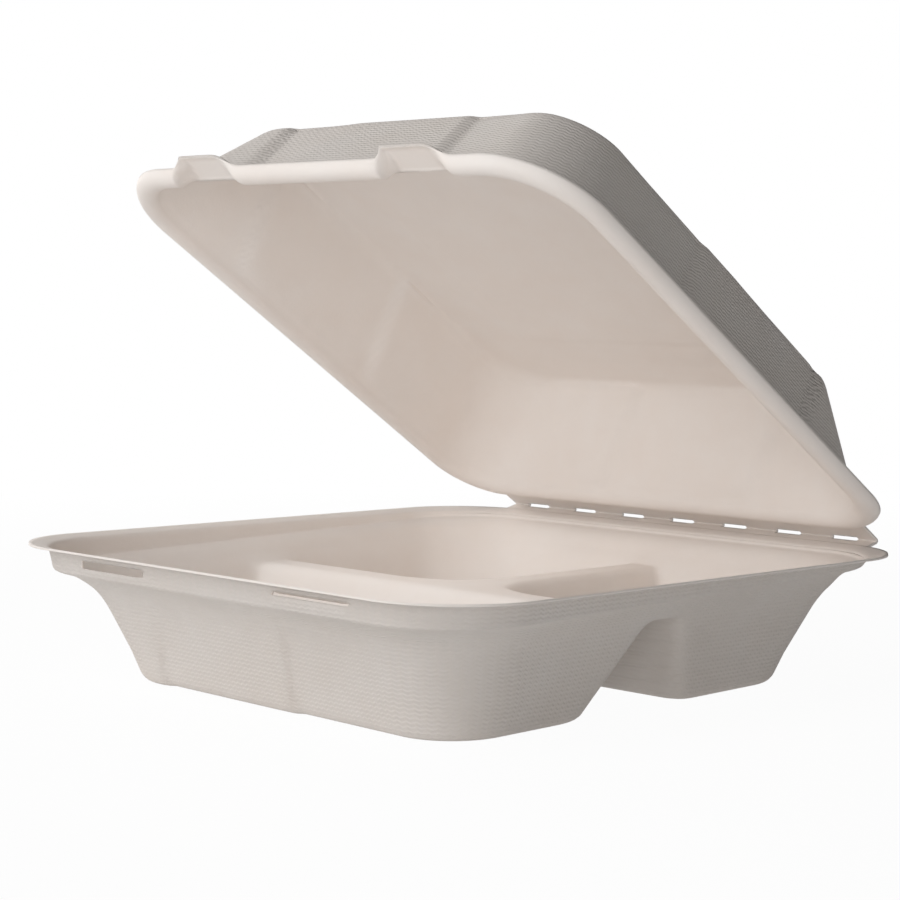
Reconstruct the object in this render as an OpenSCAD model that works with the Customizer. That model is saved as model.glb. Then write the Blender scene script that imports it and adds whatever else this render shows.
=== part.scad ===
// Hinged takeout container of molded fiber: a tray with three compartments and a domed lid.
// The origin is on the table, under the middle of the whole footprint. +X runs along the
// hinge, the two locking slots face -Y and the hinge is on the +Y side. The lid stands open.

/* [Tray] */
// Width over the rim, along the hinge
tray_w = 230; // [220:1:240]
// Depth over the rim, front to back
tray_d = 236; // [226:1:246]
// Height of the rim above the table
tray_h = 48.6; // [47.6:0.1:52]
// How much lower the rim lies at the hinge than at the front
rim_fall = 3; // [2:0.1:4]
// Corner radius of the rim
rim_r = 34; // [28:1:38]
// Thickness of the fiber sheet
sheet = 0.8; // [0.6:0.1:1]

/* [Seat for the lid] */
// Height of the seat step at the front
seat_z = 39.2; // [38.8:0.1:39.6]
// How much higher the seat is at the hinge than at the front
seat_rise = 5.4; // [4:0.1:5.6]

/* [Compartments] */
// Height of the dividers, to the underside of the sheet
divider_z = 33.7; // [33.3:0.1:34]
// Half width of the flat top of a divider
divider_half = 4.4; // [3:0.1:6]
// Where the divider along X crosses the tray, measured from its middle
divider_y = -3; // [-12:1:6]
// Where the divider along Y crosses the tray, measured from its middle
divider_x = 0; // [-12:1:12]
// Rounding between the walls and the floors
floor_r = 4.5; // [3:0.5:6]

/* [Lid] */
// Width of the lid over its rim
lid_w = 216.6; // [210:0.2:216.6]
// Distance from the hinge line to the front edge of the lid
lid_reach = 234.5; // [230:0.5:234.5]
// Distance from the hinge line to the rolled bead of the lid
lid_start = 12.4; // [12.4:0.2:16]
// Depth of the lid from its rim to its roof
lid_depth = 38; // [34:1:42]
// Angle at which the lid stands open above the rim
open_angle = 33; // [0:1:180]
// How far the two tabs stand above the edge of the lid
tab_rise = 3.8; // [3.4:0.1:4.4]

/* [Hinge] */
// Height of the fold line
fold_z = 49.9; // [49.7:0.1:50.4]
// Distance of the fold line behind the rim of the tray
fold_gap = 5.2; // [4.5:0.1:6]
// Number of perforations along the fold
perforations = 7; // [3:1:8]
// Distance from one perforation to the next
perforation_pitch = 25.6; // [20:0.1:26]
// Length of one perforation
perforation_len = 11.2; // [6:0.1:14]
// Half length of the strip that carries the fold
strip_half = 89; // [86:1:92]

/* [Locking slots] */
// Where the two slots lie across the front
slot_x = [-50, 49];
// Length of one slot
slot_len = 34; // [28:1:38]
// Height of the lower edge of a slot above the table
slot_z = 42.7; // [42.3:0.1:43]
// Height of the opening
slot_h = 2.4; // [2:0.1:2.8]

/* [Flutes] */
// Depth of the flutes pressed into the walls
flute_depth = 1.3; // [0.8:0.1:1.6]

/* [Hidden] */

fiber = [0.86, 0.84, 0.82];

// Segments in each rounded corner
corner_steps = 8;
// Slope of the outer walls, as inset per height
wall_slope = 0.4;
// Slope of the divider walls, as inset per height
divider_slope = 0.5;
// Height below which the walls run straight
straight_z = 30.3;
// Inset of the outer walls at that height
straight_inset = 19.2;
// Inset of the divider walls at that height
straight_divider = 4.2;
// Sideways step between the two faces of a sloped sheet
sheet_shift = 0.65 * sheet;
// The outer radius of the rim to the seat, in y
seat_reach = 112;

fold_y = tray_d / 2 + fold_gap;
// How far the middle of the whole footprint, hinge strip included, lies behind the tray's
footprint_shift = 3.14;
// Angle between the plane of the rim and the table
lean = atan(rim_fall / tray_d);
// Slope of the rim flange, which carries on into the hinge strip
flange_slope = 0.22;
// Clear distance between each sheet and the fold line
fold_clear = 0.15;
// How far the middle of the lid's front bows outward
bow = 0.2;

// Points of one rounded corner, centre c, from angle a0 on
function corner(c, r, a0) =
    [for (k = [0:corner_steps]) c + r * [cos(a0 + 90 * k / corner_steps), sin(a0 + 90 * k / corner_steps)]];

// Outline of a rounded rectangle, counterclockwise from the front left.
// box is [x1, x2, y1, y2], radii are [front right, back right, back left, front left].
// Each side list holds [position, inset] pairs in the direction of travel.
function outline(box, radii, front = [], right = [], back = [], left = []) = concat(
    [for (p = front) [p[0], box[2] + p[1]]],
    corner([box[1] - radii[0], box[2] + radii[0]], radii[0], -90),
    [for (p = right) [box[1] - p[1], p[0]]],
    corner([box[1] - radii[1], box[3] - radii[1]], radii[1], 0),
    [for (p = back) [p[0], box[3] - p[1]]],
    corner([box[0] + radii[2], box[3] - radii[2]], radii[2], 90),
    [for (p = left) [box[0] + p[1], p[0]]],
    corner([box[0] + radii[3], box[2] + radii[3]], radii[3], 180));

// The points of one pressed flute: a steep step at one end, a long ramp to a crease at the other
function flute(centre, half, depth, step, dir) = [
    [centre - dir * half, 0],
    [centre - dir * (half - step), depth],
    [centre - dir * (-step) / 2, depth / 2],
    [centre + dir * half, 0]];
function reversed(list) = [for (k = [len(list) - 1:-1:0]) list[k]];

// Skin through a stack of rings with equal numbers of points, closed by a face at each end.
// Each end face starts in the middle of a rounded corner, away from every straight side.
module skin(rings) {
    n = len(rings[0]);
    start = n - 1 - corner_steps / 2;
    polyhedron(
        points = [for (ring = rings) each ring],
        faces = concat(
            [[for (k = [0:n - 1]) (start + k) % n]],
            [for (i = [0:len(rings) - 2]) for (k = [0:n - 1]) each [
                [i * n + k, (i + 1) * n + k, (i + 1) * n + (k + 1) % n],
                [i * n + k, (i + 1) * n + (k + 1) % n, i * n + (k + 1) % n]]],
            [[for (k = [0:n - 1]) (len(rings) - 1) * n + (start + n - k) % n]]),
        convexity = 8);
}

// One ring of the tray's upper part; tilt 1 follows the rising seat, tilt 0 is level
function tray_ring(inset, z, tilt) = [
    for (p = outline([-tray_w / 2 + inset, tray_w / 2 - inset, -tray_d / 2 + inset, tray_d / 2 - inset],
                     [rim_r, rim_r, rim_r, rim_r]))
        [p[0], p[1], z + tilt * seat_rise * (p[1] + seat_reach) / (2 * seat_reach)]];

// Everything under the upper skin, from the divider tops to above the rim
module upper_outside() {
    skin([
        tray_ring(wall_inset(divider_z), divider_z, 0),
        tray_ring(14.6, seat_z - 3.2, 0.5),
        tray_ring(12.6, seat_z - 2, 0.8),
        tray_ring(8.4, seat_z - 0.6, 1),
        tray_ring(6.6, seat_z + 0.8, 1),
        tray_ring(6, seat_z + 3.3, 0.62),
        tray_ring(4.5, tray_h - 1.8, 0),
        tray_ring(0, tray_h - sheet, 0),
        tray_ring(0, tray_h + 2, 0)]);
}

// The space above the upper skin
module upper_inside() {
    skin([
        tray_ring(wall_inset(divider_z) + sheet_shift, divider_z + sheet, 0),
        tray_ring(15.3, seat_z - 2.5, 0.5),
        tray_ring(12.9, seat_z - 1.2, 0.8),
        tray_ring(9, seat_z + 0.3, 1),
        tray_ring(7.4, seat_z + 1.6, 1),
        tray_ring(6.8, seat_z + 3.4, 0.62),
        tray_ring(5.6, tray_h - 1.7, 0),
        tray_ring(4.9, tray_h - 4.9 * flange_slope, 0),
        tray_ring(-1, tray_h + flange_slope, 0),
        tray_ring(-1, tray_h + 3, 0)]);
}

// Inset of an outer wall, and of a divider wall from the edge of its flat top, at height z
function wall_inset(z) = z > straight_z
    ? straight_inset - 0.588 * (z - straight_z)
    : straight_inset + wall_slope * (straight_z - z) + floor_curve(z, wall_slope);
function divider_inset(z) = z > straight_z
    ? straight_divider * (1 - pow((z - straight_z) / (divider_z - straight_z), 1.7))
    : straight_divider + divider_slope * (straight_z - z) + floor_curve(z, divider_slope);
// Extra inset where a wall of this slope rounds into the floor
function floor_curve(z, slope) =
    let (a = atan(slope), h = floor_r * (1 - sin(a)))
    z >= h ? 0 : floor_r * cos(a) - slope * (h - z) - sqrt(pow(floor_r, 2) - pow(floor_r - z, 2));

// Rings of one compartment. cells are the sides that lie on the tray's outer wall,
// as [left, right, front, back], and the other sides lie on a divider.
function side(at, outer, sign, half, z, shift) = outer
    ? sign * (half - wall_inset(z) - shift)
    : at + sign * (-divider_half - divider_inset(z) - shift);
levels = [0, 0.4, 1.2, 2.8, straight_z, straight_z + 1.6, straight_z + 2.8, divider_z];
function cell_ring(cell, z, lift, shift, fluted) =
    let (t = (divider_z - z) / divider_z,
         depth = flute_depth * min(1, 6 * t),
         radii = [for (k = [0:3]) cell[4][k] ? rim_r - 16 * t : 17 + 9 * pow(1 - t, 6)])
    [for (p = outline([side(divider_x, cell[0], -1, tray_w / 2, z, shift),
                       side(divider_x, cell[1], 1, tray_w / 2, z, shift),
                       side(divider_y, cell[2], -1, tray_d / 2, z, shift),
                       side(divider_y, cell[3], 1, tray_d / 2, z, shift)],
                      radii,
                      front = fluted ? concat(flute(-28.5 + 3.5 * t, 12.5 + 14.5 * t, depth, 4.5, 1),
                                              flute(37 + 2 * t, 12 + 11 * t, depth, 4.5, 1)) : []))
        [p[0], p[1], z + lift + rim_fall * (1 - z / divider_z) * (p[1] / tray_d + 0.5)]];
module cell(cell, lift, shift, overlap, fluted) {
    skin(concat(
        [for (z = levels) cell_ring(cell, z, lift, shift, fluted)],
        [cell_ring(cell, divider_z, lift + overlap, shift + 0.02, fluted)]));
}

// The three compartments: left, right, front and back sides on the outer wall or not,
// then which of the corners are the tray's own
cells = [
    [true, true, true, false, [true, false, false, true]],
    [true, false, false, true, [false, false, true, false]],
    [false, true, false, true, [false, true, false, false]]];

// Everything is built with its rim level, then leans back until the floors lie on the table
module on_table() {
    translate([0, -tray_d / 2 - footprint_shift, 0])
        rotate([-lean, 0, 0])
            translate([0, tray_d / 2, 0])
                children();
}

// The strip beside the fold line, with a notch for each perforation
module hinge_notches(depth) {
    for (k = [0:perforations - 1])
        translate([(k - (perforations - 1) / 2) * perforation_pitch - perforation_len / 2, -depth, -3])
            cube([perforation_len, 2 * depth, 6]);
}
module tray_strip() {
    near = tray_d / 2 - 3;
    far = fold_y - fold_clear;
    top_near = tray_h - 3 * flange_slope;
    top_far = fold_z - 0.1;
    translate([-strip_half, 0, 0])
        rotate([90, 0, 90])
            linear_extrude(height = 2 * strip_half)
                polygon([[near, top_near], [near, top_near - sheet], [far, top_far - sheet], [far, top_far]]);
}

// The bulged lower lip of a locking slot, as a block that grows by g on each side
module slot_bulge(g, z1, z2) {
    band = -tray_d / 2 + 6.6;
    translate([0, 0, z1])
        linear_extrude(height = z2 - z1)
            polygon([
                [-slot_len / 2 - 3 - g, band + 3], [-slot_len / 2 - 2 - g, band],
                [-slot_len / 2 + 2 - g, band - 1.2 - g], [slot_len / 2 - 2 + g, band - 1.2 - g],
                [slot_len / 2 + 2 + g, band], [slot_len / 2 + 3 + g, band + 3]]);
}

module base_tray() {
    color(fiber)
        on_table()
        resize([tray_w, 0, 0])
        difference() {
            union() {
                difference() {
                    union() {
                        upper_outside();
                        for (c = cells)
                            cell(c, 0, 0, 0.3, c[2]);
                    }
                    upper_inside();
                    for (c = cells)
                        cell(c, sheet, sheet_shift, 0.6, c[2]);
                }
                tray_strip();
                for (x = slot_x)
                    translate([x, 0, 0])
                        difference() {
                            slot_bulge(0, seat_z + 0.9, slot_z);
                            translate([-slot_len, -tray_d / 2 + 6.8, 0])
                                cube([2 * slot_len, 10, tray_h]);
                        }
            }
            for (x = slot_x)
                translate([x, 0, 0]) {
                    slot_bulge(-sheet, seat_z + 1.7, slot_z);
                    translate([-slot_len / 2, -tray_d / 2 + 4.5, slot_z - 0.2])
                        cube([slot_len, 6, slot_h + 0.2]);
                }
            translate([0, fold_y, fold_z])
                hinge_notches(1.3);
        }
}

// Lid, in its own place: x along the hinge, v away from the fold line, w up from the rim.
// The sheet's section, from the middle of the roof outward and back again underneath:
// inset from the rim, height, and how far a tab lifts the section there.
roof_top = [[31.4, 0], [28.4, -0.4], [26, -1.8], [24.1, -4.5]];
roof_under = [[24.9, -4.9], [26.7, -2.5], [28.7, -1.2], [31.4, -0.8]];
lid_section = concat(
    [for (p = roof_top) [p[0], lid_depth + p[1], 0]],
    [[9.4, 4.2, 0], [7.4, 0.2, 1], [6.7, -2.1, 1], [5.5, -3.2, 1], [4.2, -3.6, 1],
     [2.9, -3.2, 1], [1.7, -2.1, 1], [0, 0.4, 1],
     [0, -0.4, 1], [0.9, -2.6, 1], [2.4, -4, 1], [4.2, -4.4, 1],
     [6, -4, 1], [7.4, -2.6, 1], [8.3, 0, 1], [10.4, 4.2, 0]],
    [for (p = roof_under) [p[0], lid_depth + p[1], 0]]);
// The last points on the upper face are those before this place in the list
lid_upper_points = 12;

// Places along the front of the lid where its rings have a point
front_x = [-69.5, -67.3, -66.7, -62, -57, -52, -47, -42.5, -38, -33.3, -28, -22, -16, -8, 0,
    8, 16, 22, 28, 35, 35.6, 40, 45, 50, 55.5, 60, 64.5, 68, 69.5];
// How far each place along the front is lifted by the two tabs, as a share of the tab's rise
tab_lift = [[-67.3, 0], [-66.7, 1], [-47, 1], [-33.3, 0], [35, 0], [35.6, 1], [55.5, 1], [68, 0]];

// Recess of the two flutes in the front wall at place x, for half lengths a and b
function front_recess(x, a, b, depth) = lookup(x, concat(
    flute(-37.5, a, depth, 4.5, 1), flute(51, b, depth, 4.5, 1)));

// One ring of the lid for a point of its section, with the second face a sheet away
function lid_ring(s, upper) =
    let (inset = s[0], w = s[1], t = max(0, min(1, w / 38)),
         depth = s[2] == 1 || inset > 31 ? 0 : flute_depth * (inset > 28 ? 0.4 : 1),
         r = rim_r - 0.6 * inset,
         squeeze = min(1, (lid_w / 2 - inset - r) / 70.5),
         half = 11 + 14 * t,
         back_half = 9.5 + 17 * t,
         side_mid = (lid_reach + lid_start) / 2,
         tab_w = (upper ? tab_rise + 0.4 : tab_rise - 0.4),
         front = [for (place = front_x)
             let (x = place * squeeze, k = s[2] * lookup(x, tab_lift))
             [x, inset - bow * (1 - pow(x / 75, 2)) - 2 * k * max(0, 1 - inset / 4)
                  + front_recess(x, 12 + 8 * t, 9 + 11 * t, depth), k]])
    concat(
        [for (p = front) [p[0], -(lid_reach - p[1]), w + p[2] * (tab_w - w)]],
        [for (p = outline([-lid_w / 2 + inset, lid_w / 2 - inset, -lid_reach + inset, -lid_start - inset],
                          [r, r, r, r],
                          right = concat(reversed(flute(-side_mid - 38.5, half, depth, 4.5, -1)),
                                         reversed(flute(-side_mid + 38.5, half, depth, 4.5, -1))),
                          back = concat(flute(34, back_half, depth, 4.5, -1),
                                        flute(-34, back_half, depth, 4.5, -1)),
                          left = concat(reversed(flute(-side_mid + 38.5, half, depth, 4.5, 1)),
                                        reversed(flute(-side_mid - 38.5, half, depth, 4.5, 1)))))
            [p[0], p[1], w]]);

module lid_strip() {
    far = lid_start + 0.3;
    translate([-strip_half, 0, 0])
        rotate([90, 0, 90])
            linear_extrude(height = 2 * strip_half)
                polygon([[-far, -sheet], [-fold_clear, 0.1], [-fold_clear, 0.1 + sheet], [-far, -0.1]]);
}

module lid() {
    color(fiber)
        on_table()
        translate([0, fold_y, fold_z])
            rotate([-open_angle, 0, 0])
                resize([lid_w, 0, 0])
                difference() {
                    union() {
                        skin(reversed([for (k = [0:len(lid_section) - 1])
                            lid_ring(lid_section[k], k < lid_upper_points)]));
                        lid_strip();
                    }
                    hinge_notches(1.3);
                }
}

base_tray();
lid();
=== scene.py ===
# %% [markdown]
# # A molded fiber takeout box, standing open
# The box is pressed from wet paper pulp on a wire mesh, so it is one thin sheet all over: a tray
# with three compartments, a domed lid, and a perforated fold between them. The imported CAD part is
# loaded first. It fixes every size and the way the lid turns; this file only gives it its skin.

# %% Load the frame
import math

import bpy
import mathutils
import numpy as np
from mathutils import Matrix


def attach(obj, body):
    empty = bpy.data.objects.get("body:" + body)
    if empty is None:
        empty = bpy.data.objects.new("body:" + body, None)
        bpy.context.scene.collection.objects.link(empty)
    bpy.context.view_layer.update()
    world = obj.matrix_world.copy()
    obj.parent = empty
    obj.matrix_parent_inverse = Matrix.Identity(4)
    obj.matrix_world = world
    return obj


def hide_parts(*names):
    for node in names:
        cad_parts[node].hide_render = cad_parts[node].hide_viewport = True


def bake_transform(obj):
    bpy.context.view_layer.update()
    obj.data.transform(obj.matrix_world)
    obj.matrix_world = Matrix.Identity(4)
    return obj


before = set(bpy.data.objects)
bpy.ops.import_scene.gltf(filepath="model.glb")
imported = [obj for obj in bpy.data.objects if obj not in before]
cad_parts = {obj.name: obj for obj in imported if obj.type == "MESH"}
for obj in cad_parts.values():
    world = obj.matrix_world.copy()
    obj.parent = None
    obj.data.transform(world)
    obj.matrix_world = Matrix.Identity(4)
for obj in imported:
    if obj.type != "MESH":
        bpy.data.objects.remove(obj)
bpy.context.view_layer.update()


# %% [markdown]
# ## The camera
# The photo looks at the box from its front right corner, a little above the rim, through a long
# lens, so the far edges hardly shrink. The place and turn below were worked out from the straight
# lines of the rim. The box sits low in the frame, which a lens shift reproduces without tilting.
# The rim falls a little towards the hinge. All shapes below are built over a level rim, as the
# camera was, and are then leaned back together, until the floors lie on the table.

# %% Place the camera
MM = 0.001
TRAY_W, TRAY_D = 230.0, 236.0
RIM_FALL = 3.0
LEAN = math.atan(RIM_FALL / TRAY_D)
FOOTPRINT_SHIFT = -3.14


def lean_back(vectors):
    """Vectors of the level rim's frame turned by LEAN about X, so that the back goes down."""
    vectors = np.asarray(vectors, float)
    c, s = math.cos(LEAN), math.sin(LEAN)
    x, y, z = vectors[..., 0], vectors[..., 1], vectors[..., 2]
    return np.stack([x, c * y + s * z, c * z - s * y], axis=-1)


def on_table(points):
    """Points in mm built over a level rim, set down with the floors on the table."""
    front_edge = np.array([0, -TRAY_D / 2, 0])
    return lean_back(np.asarray(points, float) - front_edge) + front_edge + [0, FOOTPRINT_SHIFT, 0]


def camera_axes(azimuth, elevation, roll):
    """Right, up and back directions of a camera, from its azimuth about Z, its elevation and its roll."""
    a, e, r = (math.radians(v) for v in (azimuth, elevation, roll))
    back = np.array([math.sin(a) * math.cos(e), -math.cos(a) * math.cos(e), math.sin(e)])
    right = np.array([math.cos(a), math.sin(a), 0.0])
    up = np.cross(back, right)
    return (math.cos(r) * right + math.sin(r) * up,
            -math.sin(r) * right + math.cos(r) * up,
            back)


def add_camera(place_mm, azimuth, elevation, roll, lens, shift):
    """A camera at place_mm with the turn that camera_axes gives."""
    data = bpy.data.cameras.new("photo_camera")
    data.lens = lens
    data.sensor_width = 36.0
    data.shift_x, data.shift_y = shift
    data.clip_start = 0.01
    data.clip_end = 20.0
    camera = bpy.data.objects.new("photo_camera", data)
    bpy.context.scene.collection.objects.link(camera)
    matrix = np.eye(4)
    matrix[:3, :3] = lean_back(camera_axes(azimuth, elevation, roll)).T
    matrix[:3, 3] = on_table(place_mm) * MM
    camera.matrix_world = mathutils.Matrix(matrix.tolist())
    bpy.context.scene.camera = camera
    return camera


camera = add_camera((544.1, -544.3, 134.4), 44.578, 6.288, 0.908,
                    lens=88.03, shift=(-0.0289, 0.1034))
print("camera at", [round(v, 4) for v in camera.location])

# %% [markdown]
# ## A sheet on a grid of nested outlines
# Tray and lid are both a dish: outlines of rounded rectangles nested inside each other, from the
# rim to the middle. A square grid of points can be laid over such a dish: each square ring of the
# grid becomes one outline, and the grid's diagonals run through the rounded corners. The four
# sides keep straight grid lines, which is where dividers and pressed flutes can be shaped.

# %% Map a square grid onto nested rounded rectangles
def nested_outlines(lines_x, lines_y, straight_x, straight_y, half_w, half_d, radius_front, radius_back):
    """Places a square grid on nested rounded rectangles.

    lines_x and lines_y are the grid's nominal lines, rising and symmetric in count. Ring k is the
    k-th square ring; half_w[k], half_d[k] are its half width and depth, radius_*[k] its corner
    radii. A node at nominal t with |t| <= straight lies on a side, at t * (half - radius) / straight.
    Beyond that it lies on the corner arc, at the angle 45 deg * (|t| - straight) / (t_corner - straight).
    Returns x, y, ring index, the side's name (0 front, 1 right, 2 back, 3 left) and the girth.
    """
    nx, ny = len(lines_x), len(lines_y)
    i, j = np.meshgrid(np.arange(nx), np.arange(ny), indexing="ij")
    ring_x = np.minimum(i, nx - 1 - i)
    ring_y = np.minimum(j, ny - 1 - j)
    ring = np.minimum(ring_x, ring_y)
    top = len(half_w) - 1
    k = np.minimum(ring, top)
    tx, ty = lines_x[i], lines_y[j]
    on_x_side = ring_x <= ring_y
    w, d = half_w[k], half_d[k]
    radius = np.where(ty < 0, radius_front[k], radius_back[k])
    corner_x = np.abs(lines_x[k])
    corner_y = np.abs(lines_y[k])
    share_y = np.clip((np.abs(ty) - straight_y) / np.maximum(corner_y - straight_y, 1e-6), 0, 1)
    share_x = np.clip((np.abs(tx) - straight_x) / np.maximum(corner_x - straight_x, 1e-6), 0, 1)
    angle_y = math.pi / 4 * share_y
    angle_x = math.pi / 4 * share_x
    side_y = np.sign(ty) * np.where(share_y > 0, d - radius + radius * np.sin(angle_y),
                                    np.abs(ty) * (d - radius) / straight_y)
    side_x = np.sign(tx) * np.where(share_x > 0, w - radius + radius * np.sin(angle_x),
                                    np.abs(tx) * (w - radius) / straight_x)
    x = np.where(on_x_side, np.sign(tx) * (w - radius + radius * np.cos(angle_y)), side_x)
    y = np.where(on_x_side, side_y, np.sign(ty) * (d - radius + radius * np.cos(angle_x)))
    inner = ring > top
    x = np.where(inner, tx, x)
    y = np.where(inner, ty, y)
    side = np.where(on_x_side, np.where(tx > 0, 1, 3), np.where(ty > 0, 2, 0))
    arc_y = np.sign(ty) * (np.minimum(np.abs(ty), straight_y) * 1.2 + 24 * angle_y)
    arc_x = np.sign(tx) * (np.minimum(np.abs(tx), straight_x) * 1.2 + 24 * angle_x)
    half_x = straight_x * 1.2 + 24 * math.pi / 4
    half_y = straight_y * 1.2 + 24 * math.pi / 4
    girth = np.select([side == 0, side == 1, side == 2],
                      [arc_x, half_x + half_y + arc_y, 2 * half_x + 2 * half_y - arc_x],
                      -half_x - half_y - arc_y)
    return x, y, ring, side, girth


def spaced(start, stop, step):
    """Even positions from start to stop, about step apart, without the last."""
    count = max(1, int(round(abs(stop - start) / step)))
    return np.linspace(start, stop, count + 1)[:-1]


def smooth_step(t):
    """0 below 0, 1 above 1, and 3 t^2 - 2 t^3 between."""
    t = np.clip(t, 0, 1)
    return t * t * (3 - 2 * t)


# %% [markdown]
# ## From one face to a sheet
# The sheet has the same thickness everywhere. Its second face is the first one moved along its
# own normal. Where a slot is cut, the two faces are joined around the hole, so the cut shows the
# sheet's thickness as the real one does.

# %% Turn a grid of points into a closed sheet
def grid_normals(points):
    """Unit normals of a grid of points: the cross product of its two directions of travel."""
    along_i = np.gradient(points, axis=0)
    along_j = np.gradient(points, axis=1)
    normal = np.cross(along_i, along_j)
    return normal / np.maximum(np.linalg.norm(normal, axis=2, keepdims=True), 1e-9)


def sheet_mesh(name, near, far, uv, holes=None):
    """A closed sheet between two grids of points in mm: near's normals point at far.

    Quads where holes is true are left out of both faces, and each edge between a kept quad and a
    missing one gets a side quad from one face to the other. Material 0 is far's face, 1 near's.
    """
    nx, ny = near.shape[:2]
    count = nx * ny
    index = np.arange(count).reshape(nx, ny)
    keep = np.ones((nx - 1, ny - 1), bool) if holes is None else ~holes
    a, b, c, d = index[:-1, :-1], index[1:, :-1], index[1:, 1:], index[:-1, 1:]
    near_quads = np.stack([a, d, c, b], axis=-1)[keep]
    far_quads = np.stack([a, b, c, d], axis=-1)[keep] + count
    padded = np.zeros((nx + 1, ny + 1), bool)
    padded[1:-1, 1:-1] = keep
    sides = []
    # Edges along i, between quad (i, j - 1) and quad (i, j).
    before, after = padded[1:-1, :-1], padded[1:-1, 1:]
    p, q = index[:-1, :], index[1:, :]
    for mask, first, second in ((after & ~before, p, q), (before & ~after, q, p)):
        u, v = first[mask], second[mask]
        sides.append(np.stack([u, v, v + count, u + count], axis=-1))
    # Edges along j, between quad (i - 1, j) and quad (i, j).
    before, after = padded[:-1, 1:-1], padded[1:, 1:-1]
    p, q = index[:, :-1], index[:, 1:]
    for mask, first, second in ((after & ~before, q, p), (before & ~after, p, q)):
        u, v = first[mask], second[mask]
        sides.append(np.stack([u, v, v + count, u + count], axis=-1))
    sides = np.concatenate(sides)
    quads = np.concatenate([near_quads, far_quads, sides])
    slots = np.concatenate([np.ones(len(near_quads), int), np.zeros(len(far_quads) + len(sides), int)])
    points = np.concatenate([near.reshape(-1, 3), far.reshape(-1, 3)])
    uv_all = np.concatenate([uv.reshape(-1, 2), uv.reshape(-1, 2)])
    return quad_object(name, points, quads, slots, uv_all)


def quad_object(name, points_mm, quads, slots, uv):
    """A smooth mesh object from points in mm, quads, their material slots and a UV pair per point."""
    used = np.unique(quads)
    renumber = np.zeros(len(points_mm), int)
    renumber[used] = np.arange(len(used))
    quads = renumber[quads]
    points = on_table(points_mm[used]) * MM
    mesh = bpy.data.meshes.new(name)
    mesh.vertices.add(len(points))
    mesh.vertices.foreach_set("co", points.astype(np.float32).ravel())
    mesh.loops.add(quads.size)
    mesh.loops.foreach_set("vertex_index", quads.astype(np.int32).ravel())
    mesh.polygons.add(len(quads))
    mesh.polygons.foreach_set("loop_start", np.arange(0, quads.size, 4, dtype=np.int32))
    mesh.polygons.foreach_set("material_index", slots.astype(np.int32))
    layer = mesh.uv_layers.new(name="sheet")
    layer.data.foreach_set("uv", uv[used][quads.ravel()].astype(np.float32).ravel())
    mesh.update(calc_edges=True)
    mesh.validate()
    mesh.polygons.foreach_set("use_smooth", np.ones(len(mesh.polygons), bool))
    obj = bpy.data.objects.new(name, mesh)
    bpy.context.scene.collection.objects.link(obj)
    print(f"{name}: {len(points)} points, {len(quads) * 2} triangles")
    return obj


# %% [markdown]
# ## The tray's section
# Followed from the edge of the rim inward, the underside of the sheet runs down the flared lip,
# drops along the near-vertical band, rounds onto the seat for the lid, and falls through a cove
# into the outer wall. The seat climbs towards the hinge, so each point also has a share of tilt.

# %% Rows of the tray, from the lip inward
SHEET = 0.8
SEAT_RISE, SEAT_REACH = 5.4, 112.0
SLOT_LOW, SLOT_HIGH = 42.7, 45.1
WALL_SLOPE = 0.4
WALL_FOOT = 31.4

# inset from the rim, height at the front, share of the seat's rise towards the hinge
rim_rows = np.array([
    [0.0, 47.8, 0], [0.9, 47.62, 0], [2.2, 47.33, 0], [3.4, 47.05, 0], [4.2, 46.86, 0],
    [4.7, 46.66, 0], [5.0, 46.36, 0.03], [5.15, 45.9, 0.1], [5.28, SLOT_HIGH, 0.22],
    [5.42, 44.3, 0.34], [5.55, 43.5, 0.45], [5.68, SLOT_LOW, 0.58], [5.8, 41.9, 0.72], [5.9, 41.1, 0.84],
    [6.0, 40.4, 0.93], [6.15, 39.85, 0.98], [6.45, 39.4, 1], [6.95, 39.1, 1], [7.8, 38.8, 1],
    [9.0, 38.45, 1], [10.2, 37.95, 0.98], [11.4, 37.3, 0.93], [12.5, 36.6, 0.84], [13.5, 35.8, 0.72],
    [14.4, 35.1, 0.6], [15.25, 34.4, 0.5]])
wall_insets = np.concatenate([spaced(16.1, 27, 0.75), spaced(27, 36, 0.5), [36]])
floor_insets = np.array([37.8, 40, 42.5, 45, 48, 51.0])
ring_insets = np.concatenate([rim_rows[:, 0], wall_insets, floor_insets])
ring_count = len(ring_insets)
print("tray rings:", ring_count)

# %% [markdown]
# Corner radii shrink from the rim to the floor. On the lip and the band the arcs share one
# centre. Lower down the draft makes them tighter, and on the flat floor they fade to nothing.

# %% Lay out the tray's grid
def tray_corner(inset):
    """Corner radius of the tray's outline this far in from the rim."""
    return np.interp(inset, [0, 6, 15, 18, 27, 31, 36, 51], [34, 33.5, 31, 30, 27.5, 24, 17, 0])


tray_radius = tray_corner(ring_insets)
tray_straight_x = TRAY_W / 2 - 51.0
tray_straight_y = TRAY_D / 2 - 51.0
steps = np.concatenate([[0], np.cumsum(np.maximum(np.diff(ring_insets), 0.45))])
ring_line_x = tray_straight_x + (steps[-1] - steps)
ring_line_y = tray_straight_y + (steps[-1] - steps)


def tray_lines(ring_line, inner):
    """Nominal lines of one direction: the rings' own lines on both sides of the inner lines."""
    return np.concatenate([-ring_line, inner, ring_line[::-1]])


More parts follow.
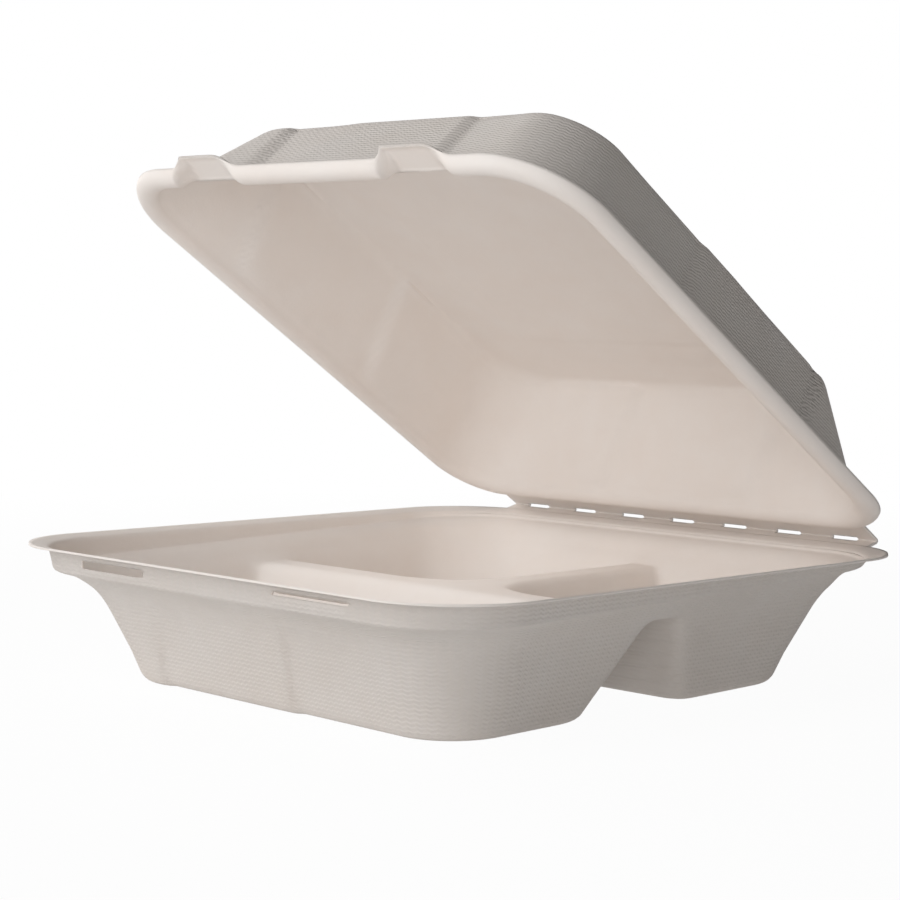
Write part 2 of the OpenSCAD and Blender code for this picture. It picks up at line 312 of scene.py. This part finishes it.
BAND_INSET = 5.55
band_scale = (TRAY_W / 2 - BAND_INSET - tray_corner(BAND_INSET)) / tray_straight_x
slot_ends = np.array([-67.6, -33.6, 31.5, 66.6])
slot_marks = np.concatenate([slot_ends + beside for beside in (-3, -1.2, 0, 1.2, 3)]) / band_scale
COARSE, FINE = 1.9, 1.2
inner_x = np.concatenate([spaced(-61.8, -27, COARSE), spaced(-27, 27, FINE),
                          spaced(27, 61.9, COARSE), [61.9]])
inner_x = inner_x[np.min(np.abs(inner_x[:, None] - slot_marks[None, :]), axis=1) > 0.45]
inner_x = np.sort(np.concatenate([inner_x, slot_marks]))
inner_y = np.concatenate([spaced(-64.8, -30, COARSE), spaced(-30, 24, FINE),
                          spaced(24, 64.8, COARSE), [64.8]])
lines_x = tray_lines(ring_line_x, inner_x)
lines_y = tray_lines(ring_line_y, inner_y)
tray_x, tray_y, tray_ring, tray_side, tray_girth = nested_outlines(
    lines_x, lines_y, tray_straight_x, tray_straight_y,
    TRAY_W / 2 - ring_insets, TRAY_D / 2 - ring_insets, tray_radius, tray_radius)
print("tray grid:", tray_x.shape)

# %% [markdown]
# ## Flutes
# The walls are stiffened by shallow flutes. Seen from outside, each one starts with a soft step,
# lies nearly two millimetres deeper, and rises again to a thin crease. It widens away from the rim.

# %% Depth of a flute
FLUTE = 1.8


def flute_depth(along, low_edge, high_edge, depth, step_at_low=True, step=3.6):
    """Depth of a flute at positions along a wall.

    From the stepped edge it rises by a smooth step over `step`, and then falls in a straight line
    to nothing at the other edge.
    """
    span = np.maximum(high_edge - low_edge, 1e-6)
    t = (along - low_edge) / span if step_at_low else (high_edge - along) / span
    rise = smooth_step(t * span / step)
    fall = np.clip((1 - t) / (1 - 0.5 * step / span), 0, 1)
    return depth * rise * fall * (t > 0)


# %% [markdown]
# ## Dividers, compartments and floor
# A divider is a ridge that the sheet runs over. Each wall is first a plain slope without end.
# Where two slopes meet in a compartment's corner they are joined by an arc in plan. The ridges are
# then cut off level and rounded along their crest, and everything is rounded into the floor.

# %% Heights of walls, ridges and floor
DIVIDER_Z, DIVIDER_Y, DIVIDER_X = 33.7, -3.0, 0.0
DIVIDER_HALF = 6.9
DIVIDER_SLOPE = 0.5
CREST_RADIUS, FOOT_RADIUS = 4.1, 5
# Corner radii in plan at the floor, and what they gain up to the crest.
RIDGE_CORNER, RIDGE_GAIN = 17, 12
WALL_CORNER, WALL_GAIN = 9, -3
WALL_BLEND = 4.0
SEAT_BLEND = 4


def corner_max(z1, slope1, z2, slope2, radius):
    """The higher of two sloped walls, joined in plan by an arc of this radius.

    At height z the walls stand slope * (z1 - z) away, so the arc is
    (radius + slope1 (z1 - z))^2 + (radius + slope2 (z2 - z))^2 = radius^2, solved for z.
    """
    p, q = slope1 ** 2, slope2 ** 2
    a1, a2 = z1 + radius / slope1, z2 + radius / slope2
    b = p * a1 + q * a2
    c = p * a1 ** 2 + q * a2 ** 2 - radius ** 2
    joined = (b - np.sqrt(np.maximum(b * b - (p + q) * c, 0))) / (p + q)
    far_off = np.where(z1 >= z2, radius + slope2 * (z2 - z1) <= 0, radius + slope1 * (z1 - z2) <= 0)
    return np.where(far_off, np.maximum(z1, z2), joined)


def round_crest(z, crest, slope, radius):
    """Cuts a slope off level at crest, with an arc of this radius between."""
    tangent = radius * math.tan(math.atan(1 / slope) / 2)
    h = slope * (z - crest)
    drop = radius - np.sqrt(np.maximum(radius ** 2 - np.clip(tangent - h, 0, radius) ** 2, 0))
    reach = radius * math.sin(math.atan(1 / slope))
    return np.where(tangent - h > reach, z, crest - drop)


def round_foot(z, slope, radius):
    """Ends a slope on the floor at height 0, with an arc of this radius between."""
    tangent = radius * math.tan(math.atan(1 / slope) / 2)
    h = slope * z
    rise = radius - np.sqrt(np.maximum(radius ** 2 - np.clip(h + tangent, 0, radius) ** 2, 0))
    reach = radius * math.sin(math.atan(1 / slope))
    return np.where(h + tangent > reach, z, rise)


def soft_max(a, b, width):
    """The higher of two heights, blended where they differ by less than width."""
    return np.maximum(a, b) + np.maximum(width - np.abs(a - b), 0) ** 2 / (4 * width)


# %% Shape the tray's underside
def tray_underside():
    """Points of the sheet's lower face, in mm, over the tray's grid."""
    x, y, ring = tray_x, tray_y, tray_ring
    k = np.minimum(ring, ring_count - 1)
    middle_inset = np.minimum(TRAY_W / 2 - np.abs(x), TRAY_D / 2 - np.abs(y))
    inset = np.where(ring < ring_count, ring_insets[k], middle_inset)
    line = (WALL_FOOT - inset) / WALL_SLOPE
    share_down = np.clip((34 - line) / 34, 0, 1)
    front = tray_side == 0
    flutes = (flute_depth(x, -47 - 11 * share_down, -16 + 18 * share_down, FLUTE)
              + flute_depth(x, 19 - 9 * share_down, 49 + 16 * share_down, FLUTE))
    flutes = np.where(front, flutes * smooth_step((35.5 - line) / 5), 0)
    line = line + flutes / WALL_SLOPE
    rim = ring < len(rim_rows)
    row = np.minimum(ring, len(rim_rows) - 1)
    tilt = SEAT_RISE * (y + SEAT_REACH) / (2 * SEAT_REACH)
    outer = np.where(rim, rim_rows[row, 1] + rim_rows[row, 2] * tilt, line)
    # The cove blends into the straight wall a little below the seat.
    cove_inset, cove_z, cove_tilt = rim_rows[-1]
    cove = cove_z + cove_tilt * tilt - (inset - cove_inset)
    outer = np.where(rim, outer, -soft_max(-cove, -line, SEAT_BLEND))
    ridge_long = DIVIDER_Z - (np.abs(y - DIVIDER_Y) - DIVIDER_HALF) / DIVIDER_SLOPE
    ridge_short = DIVIDER_Z - (np.abs(x - DIVIDER_X) - DIVIDER_HALF) / DIVIDER_SLOPE
    ridge_short = np.where(y > DIVIDER_Y, ridge_short, -200.0)
    high = np.clip(np.maximum(ridge_long, ridge_short) / DIVIDER_Z, 0, 1)
    ridge_corner = RIDGE_CORNER + RIDGE_GAIN * high
    ridges = corner_max(ridge_long, DIVIDER_SLOPE, ridge_short, DIVIDER_SLOPE, ridge_corner)
    wall_side = np.maximum(outer, -150) - WALL_BLEND
    walls = corner_max(ridges, DIVIDER_SLOPE, wall_side, WALL_SLOPE, WALL_CORNER + WALL_GAIN * high)
    ridge_body = round_crest(walls, DIVIDER_Z, DIVIDER_SLOPE, CREST_RADIUS)
    z = soft_max(ridge_body, outer, WALL_BLEND)
    z = np.where(ring < 14, outer, z)
    z = round_foot(z, WALL_SLOPE, FOOT_RADIUS)
    # The rim leans back by RIM_FALL, so over a level rim the floors climb by as much.
    z = z + RIM_FALL * np.clip(1 - z / DIVIDER_Z, 0, 1) * (y / TRAY_D + 0.5)
    return np.stack([x, y, z], axis=-1)


under = tray_underside()
print("tray heights:", under[..., 2].min().round(2), under[..., 2].max().round(2))

# %% [markdown]
# ## Locking slots
# The lid's tabs go into two slots in the front band. The strip under each slot is pressed outward
# a little, so that the opening faces up. One slot is well open, the other has nearly closed.

# %% Press and cut the slots
BULGE = 1.5


def press_slots(points):
    """Pushes the strip under each slot outward by up to BULGE, fading over its ends and towards the seat."""
    x = points[..., 0].copy()
    front = (tray_side == 0) & (tray_ring >= 8) & (tray_ring <= 18)
    open_share = np.interp(tray_ring, [8, 11, 12, 15, 18], [0, 1, 1, 0.55, 0])
    closed_share = np.interp(tray_ring, [8, 9, 12, 15, 18], [0, 1, 1, 0.55, 0])
    for (low, high), share in ((slot_ends[:2], open_share), (slot_ends[2:], closed_share)):
        push = smooth_step((x - low + 2.5) / 5.5) * smooth_step((high + 2.5 - x) / 5.5)
        points[..., 1] -= np.where(front, BULGE * push * share, 0)
    return points


under = press_slots(under)
over = under + SHEET * grid_normals(under)
quad_x = 0.5 * (tray_x[:-1, :-1] + tray_x[1:, :-1])
quad_ring = np.minimum(tray_ring[:-1, :-1], tray_ring[1:, 1:])
quad_front = (tray_side[:-1, :-1] == 0) & (tray_side[1:, 1:] == 0) & (tray_y[:-1, :-1] < 0)
first_slot = (quad_x > slot_ends[0]) & (quad_x < slot_ends[1]) & (quad_ring < 11)
second_slot = (quad_x > slot_ends[2]) & (quad_x < slot_ends[3]) & (quad_ring < 9)
slot_holes = quad_front & (quad_ring >= 8) & (first_slot | second_slot)

# %% Make the tray
rim_inset = np.minimum(ring_insets[np.minimum(tray_ring, ring_count - 1)], 16)
tray_uv = np.stack([tray_girth, under[..., 2] * 1.05 - 0.6 * rim_inset], axis=-1) * MM
tray = sheet_mesh("tray_sheet", under, over, tray_uv, slot_holes)

# %% [markdown]
# ## The lid
# The lid is the same kind of dish, upside down and tilted open. Its edge is a rolled bead, a half
# pipe that hangs down and drops into the tray's seat. From the bead the walls lean inward to the
# roof, with a soft fillet. In its own place v runs from the fold to the front and w towards the roof.

# %% Rows of the lid, from the bead inward
LID_HALF_W = 108.6
LID_BACK, LID_FRONT = 12.4, 234.7
LID_MID = (LID_BACK + LID_FRONT) / 2
LID_HALF_D = (LID_FRONT - LID_BACK) / 2
OPEN_ANGLE = 33.0
FOLD_Y, FOLD_Z = 123.2, 49.9
BEAD_R = 4.2
LID_SLOPE = 0.4877

bead_angles = np.radians(np.linspace(180, 354, 15))
bead_rows = np.stack([BEAD_R + BEAD_R * np.cos(bead_angles), 0.25 + BEAD_R * np.sin(bead_angles)], axis=1)
wall_w = np.array([1.4, 2.8, 4.4, 6.2, 8.4, 11, 14, 17, 20, 23, 26, 28.7, 31.2])
wall_rows = np.stack([8.64 + LID_SLOPE * wall_w, wall_w], axis=1)
fillet_angles = np.radians(np.linspace(26, 90, 10))
fillet_rows = np.stack([31.28 - 7.2 * np.cos(fillet_angles), 30 + 7.2 * np.sin(fillet_angles)], axis=1)
roof_insets = np.array([32.8, 34.8, 37, 39, 41.5, 44.5, 48, 51.0])
roof_rows = np.stack([roof_insets, np.full(len(roof_insets), 37.2)], axis=1)
lid_rows = np.concatenate([bead_rows, wall_rows, fillet_rows, roof_rows])
lid_count = len(lid_rows)
lid_insets = lid_rows[:, 0]
lid_radius_front = np.interp(lid_insets, [0, 8.6, 32, 51], [31.5, 25, 22, 0])
lid_radius_back = np.interp(lid_insets, [0, 8.6, 32, 51], [24, 20, 21, 0])
lid_straight_x = LID_HALF_W - 51.0
lid_straight_y = LID_HALF_D - 51.0
lid_steps = np.concatenate([[0], np.cumsum(np.maximum(np.hypot(*np.diff(lid_rows, axis=0).T), 0.6))])
lid_line_x = lid_straight_x + lid_steps[-1] - lid_steps
lid_line_y = lid_straight_y + lid_steps[-1] - lid_steps
tab_scale = (LID_HALF_W - 33) / lid_straight_x
tab_marks = np.array([-68, -67.2, -66.4, -47, -33, 34, 34.8, 35.6, 55, 68]) / tab_scale
lid_inner_x = np.concatenate([spaced(-57, 57, 1.6), [57.0]])
lid_inner_x = lid_inner_x[np.min(np.abs(lid_inner_x[:, None] - tab_marks[None, :]), axis=1) > 0.5]
lid_inner_x = np.sort(np.concatenate([lid_inner_x, tab_marks]))
lid_inner_y = np.concatenate([spaced(-59.5, 59.5, 1.7), [59.5]])
lid_x, lid_y, lid_ring, lid_side, lid_girth = nested_outlines(
    tray_lines(lid_line_x, lid_inner_x), tray_lines(lid_line_y, lid_inner_y),
    lid_straight_x, lid_straight_y, LID_HALF_W - lid_insets, LID_HALF_D - lid_insets,
    lid_radius_front, lid_radius_back)
print("lid grid:", lid_x.shape, "rings:", lid_count)

# %% [markdown]
# ## Tabs
# At the two tabs the bead is pressed flat and stands higher, as a tongue that reaches a little
# further forward. One end of each tab is cut off square, the other slopes back into the bead.

# %% Shape the lid's inner face
TAB_W = 3.4
LID_FLUTE = 2.4


def tab_share(x):
    """How far the bead has turned into a tab at x: 1 on the flat, 0 on the plain bead."""
    return np.maximum(smooth_step(np.interp(x, [-68, -66.4, -49, -33], [0, 1, 1, 0])),
                      smooth_step(np.interp(x, [34, 35.6, 53, 68], [0, 1, 1, 0])))


def lid_inner_face():
    """Points of the lid's inner face as x, v, w in the lid's own place, in mm."""
    x, y, ring, side = lid_x, lid_y, lid_ring, lid_side
    k = np.minimum(ring, lid_count - 1)
    w = lid_rows[k, 1]
    v = LID_MID - y
    on_wall = (ring >= len(bead_rows)) & (ring < len(bead_rows) + len(wall_rows) + len(fillet_rows))
    up = np.clip(w / 36, 0, 1)
    fade = np.where(on_wall, smooth_step(w / 5) * (1 - smooth_step((w - 35.5) / 1.7)), 0)
    side_flutes = (flute_depth(v, 150 - 18 * up, 172 + 18 * up, LID_FLUTE, step_at_low=False)
                   + flute_depth(v, 72 - 18 * up, 96 + 19 * up, LID_FLUTE, step_at_low=False))
    right_flutes = (flute_depth(v, 150 - 18 * up, 172 + 18 * up, LID_FLUTE)
                    + flute_depth(v, 72 - 18 * up, 96 + 19 * up, LID_FLUTE))
    back_flutes = (flute_depth(x, -42.4 - 18.6 * up, -25.9 + 15.3 * up, LID_FLUTE, step_at_low=False)
                   + flute_depth(x, 25.4 - 18 * up, 45.1 + 16.4 * up, LID_FLUTE, step_at_low=False))
    front_flutes = (flute_depth(x, -46 - 11 * up, -28 + 10 * up, LID_FLUTE)
                    + flute_depth(x, 44 - 11 * up, 62 + 6 * up, LID_FLUTE))
    x = np.where(side == 3, x + fade * side_flutes, x)
    x = np.where(side == 1, x - fade * right_flutes, x)
    v = np.where(side == 2, v + fade * back_flutes, v)
    v = np.where(side == 0, v - fade * front_flutes, v)
    # The flat tongue: rows of the bead spread evenly from its tip to the wall.
    tab = np.where((side == 0) & (ring <= len(bead_rows)), tab_share(x), 0)
    flat_v = LID_FRONT - np.interp(ring, [0, len(bead_rows) - 1, len(bead_rows)], [-1.8, 9.2, 10.0])
    v = v + tab * (flat_v - v)
    flat_w = TAB_W - np.interp(ring, [0, 3, len(bead_rows) - 1, len(bead_rows)], [0.5, 0, 1, 1.6])
    w = w + tab * (flat_w - w)
    # Two shallow steps frame the roof, and the middle sags a little.
    roof = ring >= len(bead_rows) + len(wall_rows) + len(fillet_rows) - 1
    edge = np.minimum(LID_HALF_W - np.abs(lid_x), LID_HALF_D - np.abs(lid_y))
    frame_step = 0.5 * smooth_step((edge - 44.5) / 1.8) + 0.35 * smooth_step((edge - 58) / 1.8)
    w = np.where(roof, w - frame_step, w)
    return x, v, w


def lid_place(x, v, w, angle=OPEN_ANGLE):
    """From the lid's own place to the box's: turned up by the open angle about the fold."""
    a = math.radians(angle)
    y = FOLD_Y - v * math.cos(a) + w * math.sin(a)
    z = FOLD_Z + v * math.sin(a) + w * math.cos(a)
    return np.stack([x, y, z], axis=-1)


inner_face = lid_place(*lid_inner_face())
outer_face = inner_face + SHEET * grid_normals(inner_face)
lid_uv = np.stack([lid_girth * MM, lid_steps[np.minimum(lid_ring, lid_count - 1)] * MM], axis=-1)
lid = sheet_mesh("lid_sheet", inner_face, outer_face, lid_uv)
print("lid reaches", outer_face.reshape(-1, 3).max(axis=0).round(1))

# %% [markdown]
# ## The fold
# Behind the tray's lip the sheet carries on as a flat strip, bends sharply at the fold, and
# becomes the flange that holds the lid's bead. Seven perforations let the sheet bend in one line.

# %% Make the perforated strip
STRIP_HALF = 90.5
PITCH, PERFORATION, PERFORATION_HALF = 25.6, 11.2, 1.25
STRIP_LEVEL = 13.5
FOLD_HALF = 0.35
perforations = (np.arange(7) - 3) * PITCH
perforation_ends = np.concatenate([perforations - PERFORATION / 2, perforations + PERFORATION / 2])
strip_ends = np.array([-STRIP_HALF, -STRIP_HALF + 0.7, STRIP_HALF - 0.7, STRIP_HALF])
strip_x = np.concatenate([strip_ends, perforation_ends, perforation_ends - 0.5, perforation_ends + 0.5])
strip_x = np.unique(np.concatenate([strip_x, np.linspace(-88, 88, 45)]).round(3))
fold_s = np.array([-9.0, -7, -5.2, -3.4, -2.2, -PERFORATION_HALF, -0.7, -FOLD_HALF, 0,
                   FOLD_HALF, 0.7, PERFORATION_HALF, 2.2, 4, 7, 10, 12.2, 13.6])


def strip_direction(s):
    """Direction of the strip in Y and Z at s mm beyond the fold; the tray lies at s < 0, the lid at s > 0."""
    turned = smooth_step((s + FOLD_HALF) / (2 * FOLD_HALF))
    bend = np.radians(STRIP_LEVEL) + np.radians(180 - STRIP_LEVEL - OPEN_ANGLE) * turned
    return np.cos(bend), np.sin(bend)


grid_x, grid_s = np.meshgrid(strip_x, fold_s, indexing="ij")
fine_s = np.linspace(fold_s[0], fold_s[-1], 4001)
fine_dy, fine_dz = strip_direction(fine_s)
path_y = np.concatenate([[0], np.cumsum(0.5 * (fine_dy[1:] + fine_dy[:-1]) * np.diff(fine_s))])
path_z = np.concatenate([[0], np.cumsum(0.5 * (fine_dz[1:] + fine_dz[:-1]) * np.diff(fine_s))])
path_y -= np.interp(0, fine_s, path_y)
path_z -= np.interp(0, fine_s, path_z)
strip_top = np.stack([grid_x, FOLD_Y + np.interp(grid_s, fine_s, path_y),
                      FOLD_Z + np.interp(grid_s, fine_s, path_z)], axis=-1)
strip_low = strip_top - SHEET * grid_normals(strip_top)
strip_uv = np.stack([grid_x * MM, grid_s * MM], axis=-1)
quad_sx = 0.5 * (grid_x[:-1, :-1] + grid_x[1:, 1:])
quad_ss = 0.5 * (grid_s[:-1, :-1] + grid_s[1:, 1:])
in_perforation = np.min(np.abs(quad_sx[..., None] - perforations), axis=-1) < PERFORATION / 2
strip_holes = in_perforation & (np.abs(quad_ss) < PERFORATION_HALF)
fold_strip = sheet_mesh("fold_strip", strip_low, strip_top, strip_uv, strip_holes)

# %% [markdown]
# ## Fiber
# Pressed pulp is matte and pale, a little warm and slightly cloudy. The side that lay on the wire
# screen keeps its weave as a fine relief; the other side was pressed smooth and shows only a few
# flecks. Shader maths is written as expressions, with a small class that wraps a socket.

# %% A small language for shader nodes
class Sockets:
    """Wraps a node socket, so that + - * / build Math nodes."""

    def __init__(self, tree, socket):
        self.tree, self.socket = tree, socket

    def node(self, kind, settings=None, **inputs):
        """Adds a node. Settings are its properties; inputs are its sockets, by name or as i and a number."""
        made = self.tree.nodes.new(kind)
        for key, value in (settings or {}).items():
            setattr(made, key, value)
        for key, value in inputs.items():
            numbered = key[0] == "i" and key[1:].isdigit()
            target = made.inputs[int(key[1:]) if numbered else key.replace("_", " ")]
            if isinstance(value, Sockets):
                self.tree.links.new(value.socket, target)
            else:
                target.default_value = value
        return made

    def math(self, operation, *values):
        """A Math node over sockets and plain numbers."""
        made = self.tree.nodes.new("ShaderNodeMath")
        made.operation = operation
        for slot, value in enumerate(values):
            if isinstance(value, Sockets):
                self.tree.links.new(value.socket, made.inputs[slot])
            else:
                made.inputs[slot].default_value = value
        return Sockets(self.tree, made.outputs[0])

    def __add__(self, other):
        return self.math("ADD", self, other)

    def __radd__(self, other):
        return self.math("ADD", other, self)

    def __sub__(self, other):
        return self.math("SUBTRACT", self, other)

    def __rsub__(self, other):
        return self.math("SUBTRACT", other, self)

    def __mul__(self, other):
        return self.math("MULTIPLY", self, other)

    def __rmul__(self, other):
        return self.math("MULTIPLY", other, self)

    def __truediv__(self, other):
        return self.math("DIVIDE", self, other)

    def sin(self):
        return self.math("SINE", self)

    def clamp(self):
        return self.math("MAXIMUM", self.math("MINIMUM", self, 1.0), 0.0)


def srgb(red, green, blue):
    """A colour written as on a screen, 0 to 255, as the linear numbers that nodes take."""
    values = [c / 255 for c in (red, green, blue)]
    return tuple(c / 12.92 if c <= 0.04045 else ((c + 0.055) / 1.055) ** 2.4 for c in values) + (1.0,)


def new_material(name):
    """An empty material with a Principled shader; returns it, the shader and a starting socket."""
    material = bpy.data.materials.new(name)
    material.use_nodes = True
    tree = material.node_tree
    shader = next(n for n in tree.nodes if n.type == "BSDF_PRINCIPLED")
    return material, shader, Sockets(tree, None)


# %% Fiber materials
RIB_PITCH = 0.0016
# The screen side has the pulp's own colour. The smooth side, which faces into the tray and the lid, is
# painted paler: painted light on the inner faces. Each has a warmer tone that clouds it.
SCREEN_SIDE = srgb(218, 212, 207), srgb(213, 205, 198)
SMOOTH_SIDE_PAINTED_LIGHT = srgb(247, 241, 236), srgb(244, 235, 228)


def fiber_material(name, screen_side):
    """Pale matte pulp. The screen side adds the weave of the wire as relief, along the sheet's UV."""
    material, shader, start = new_material(name)
    tree = material.node_tree
    coords = start.node("ShaderNodeTexCoord")
    place = Sockets(tree, coords.outputs["Object"])
    cloud = start.node("ShaderNodeTexNoise", Vector=place, Scale=38.0, Detail=4.0, Roughness=0.6)
    grain = start.node("ShaderNodeTexNoise", Vector=place, Scale=900.0, Detail=3.0, Roughness=0.6)
    cloud = Sockets(tree, cloud.outputs["Fac"])
    grain = Sockets(tree, grain.outputs["Fac"])
    colour = start.node("ShaderNodeMix", {"data_type": "RGBA"}, i0=(cloud * 1.6 - 0.3).clamp())
    # The smooth side's colours are painted paler than the screen side's: painted light on the inner faces.
    pale, warm = SCREEN_SIDE if screen_side else SMOOTH_SIDE_PAINTED_LIGHT
    colour.inputs[6].default_value = pale
    colour.inputs[7].default_value = warm
    tree.links.new(colour.outputs[2], shader.inputs["Base Color"])
    shader.inputs["Roughness"].default_value = 0.82
    shader.inputs["Specular IOR Level"].default_value = 0.25
    relief = grain * 0.25 + cloud * 0.3
    if screen_side:
        sheet = start.node("ShaderNodeUVMap", {"uv_map": "sheet"})
        parts = start.node("ShaderNodeSeparateXYZ", Vector=Sockets(tree, sheet.outputs["UV"]))
        u = Sockets(tree, parts.outputs["X"])
        v = Sockets(tree, parts.outputs["Y"])
        wander = start.node("ShaderNodeTexNoise", Vector=place, Scale=60.0, Detail=2.0)
        wander = Sockets(tree, wander.outputs["Fac"]) * 3.0
        turn = 2 * math.pi / RIB_PITCH
        weave = (u * turn + wander).sin() * (v * turn + wander).sin()
        ribs = (v * turn + (u * turn * 0.5).sin() * 0.8 + wander).sin()
        relief = relief + weave * 0.1 + ribs * 0.4
    bump = start.node("ShaderNodeBump", Height=relief, Strength=0.45, Distance=0.0004)
    tree.links.new(bump.outputs["Normal"], shader.inputs["Normal"])
    return material


# The smooth-side material carries painted light: its paler colour brightens the inner faces of the tray, the
# lid and the top of the strip.
smooth_fiber_painted_light = fiber_material("fiber_smooth_side_painted_light", False)
screen_fiber = fiber_material("fiber_screen_side", True)
for piece, far, near in ((tray, smooth_fiber_painted_light, screen_fiber),
                         (lid, screen_fiber, smooth_fiber_painted_light),
                         (fold_strip, smooth_fiber_painted_light, screen_fiber)):
    piece.data.materials.append(far)
    piece.data.materials.append(near)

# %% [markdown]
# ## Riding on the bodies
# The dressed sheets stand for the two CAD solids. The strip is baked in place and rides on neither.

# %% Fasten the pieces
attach(tray, "tray")
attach(lid, "cover")
tuple(on_table((0, FOLD_Y, FOLD_Z - 0.05)) * MM)
tuple(on_table((0, FOLD_Y, FOLD_Z + 0.4)) * MM)
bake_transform(fold_strip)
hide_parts("base_tray")
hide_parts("lid")

# %% [markdown]
# ## Floor and light
# A white floor under a white sky, as in a product photo. One soft lamp stands on the left, three
# stand in front of the box at rising heights, and one stands low on the right, where it also
# reaches into the tunnel. The floor gives off a little light of its own, as a lit table does.

# %% Stage
FLOOR_WHITE = 0.96
FLOOR_GLOW = 0.2
SHADOW_REACH = 0.35


def add_floor():
    """A large plain square that is white to the camera and pale to everything else."""
    mesh = bpy.data.meshes.new("floor")
    half = 6.0
    corners = [(-half, -half, 0), (half, -half, 0), (half, half, 0), (-half, half, 0)]
    mesh.from_pydata(corners, [], [(0, 1, 2, 3)])
    floor = bpy.data.objects.new("floor", mesh)
    bpy.context.scene.collection.objects.link(floor)
    material, shader, start = new_material("floor_white")
    shader.inputs["Base Color"].default_value = (0.95, 0.95, 0.95, 1)
    shader.inputs["Roughness"].default_value = 0.9
    tree = material.node_tree
    rays = start.node("ShaderNodeLightPath")
    seen = Sockets(tree, rays.outputs["Is Camera Ray"]) + Sockets(tree, rays.outputs["Is Glossy Ray"])
    coords = start.node("ShaderNodeTexCoord")
    place = Sockets(tree, coords.outputs["Object"])
    away = start.node("ShaderNodeVectorMath", {"operation": "LENGTH"}, i0=place)
    # Near the box a little of the shadow shows; further off the floor is as white as the sky.
    far = ((Sockets(tree, away.outputs["Value"]) - SHADOW_REACH) / SHADOW_REACH).clamp()
    white_share = far * (1 - FLOOR_WHITE) + FLOOR_WHITE
    white = start.node("ShaderNodeEmission")
    mix = start.node("ShaderNodeMixShader", i0=seen.clamp() * (white_share - FLOOR_GLOW) + FLOOR_GLOW)
    tree.links.new(shader.outputs[0], mix.inputs[1])
    tree.links.new(white.outputs[0], mix.inputs[2])
    output = next(n for n in tree.nodes if n.type == "OUTPUT_MATERIAL")
    tree.links.new(mix.outputs[0], output.inputs["Surface"])
    floor.data.materials.append(material)
    return floor


LAMP_AIM = mathutils.Vector((0, 0, 0.06))
LAMP_REACH = 2.3
LAMP_SIZE = 1.2


def add_lamp(name, azimuth, elevation, power):
    """A square lamp LAMP_REACH away from the box; azimuth 0 stands in front of it, 90 on its right."""
    a, e = math.radians(azimuth), math.radians(elevation)
    away = mathutils.Vector((math.sin(a) * math.cos(e), -math.cos(a) * math.cos(e), math.sin(e)))
    data = bpy.data.lights.new(name, "AREA")
    data.shape = "SQUARE"
    data.size = LAMP_SIZE
    data.energy = power
    lamp = bpy.data.objects.new(name, data)
    bpy.context.scene.collection.objects.link(lamp)
    lamp.location = LAMP_AIM + LAMP_REACH * away
    lamp.rotation_euler = away.to_track_quat("Z", "Y").to_euler()
    return lamp


floor = add_floor()
add_lamp("left", -90, 25, 18)
add_lamp("high_front", -10, 50, 12)
add_lamp("front", -15, 25, 12)
add_lamp("low_front", -10, 8, 6)
add_lamp("low_right", 42, 8, 12)
world = bpy.data.worlds.new("sky")
bpy.context.scene.world = world
world.use_nodes = True
sky = world.node_tree.nodes["Background"]
sky.inputs["Color"].default_value = (1, 0.98, 0.96, 1)
sky.inputs["Strength"].default_value = 0.05
sky_start = Sockets(world.node_tree, None)
rays = sky_start.node("ShaderNodeLightPath")
seen = (Sockets(world.node_tree, rays.outputs["Is Camera Ray"])
        + Sockets(world.node_tree, rays.outputs["Is Glossy Ray"]))
backdrop = sky_start.node("ShaderNodeBackground")
backdrop.inputs["Color"].default_value = (1, 1, 1, 1)
mix = sky_start.node("ShaderNodeMixShader", i0=seen.clamp())
world.node_tree.links.new(sky.outputs[0], mix.inputs[1])
world.node_tree.links.new(backdrop.outputs[0], mix.inputs[2])
world_output = next(n for n in world.node_tree.nodes if n.type == "OUTPUT_WORLD")
world.node_tree.links.new(mix.outputs[0], world_output.inputs["Surface"])
bpy.context.scene.view_settings.view_transform = "Standard"
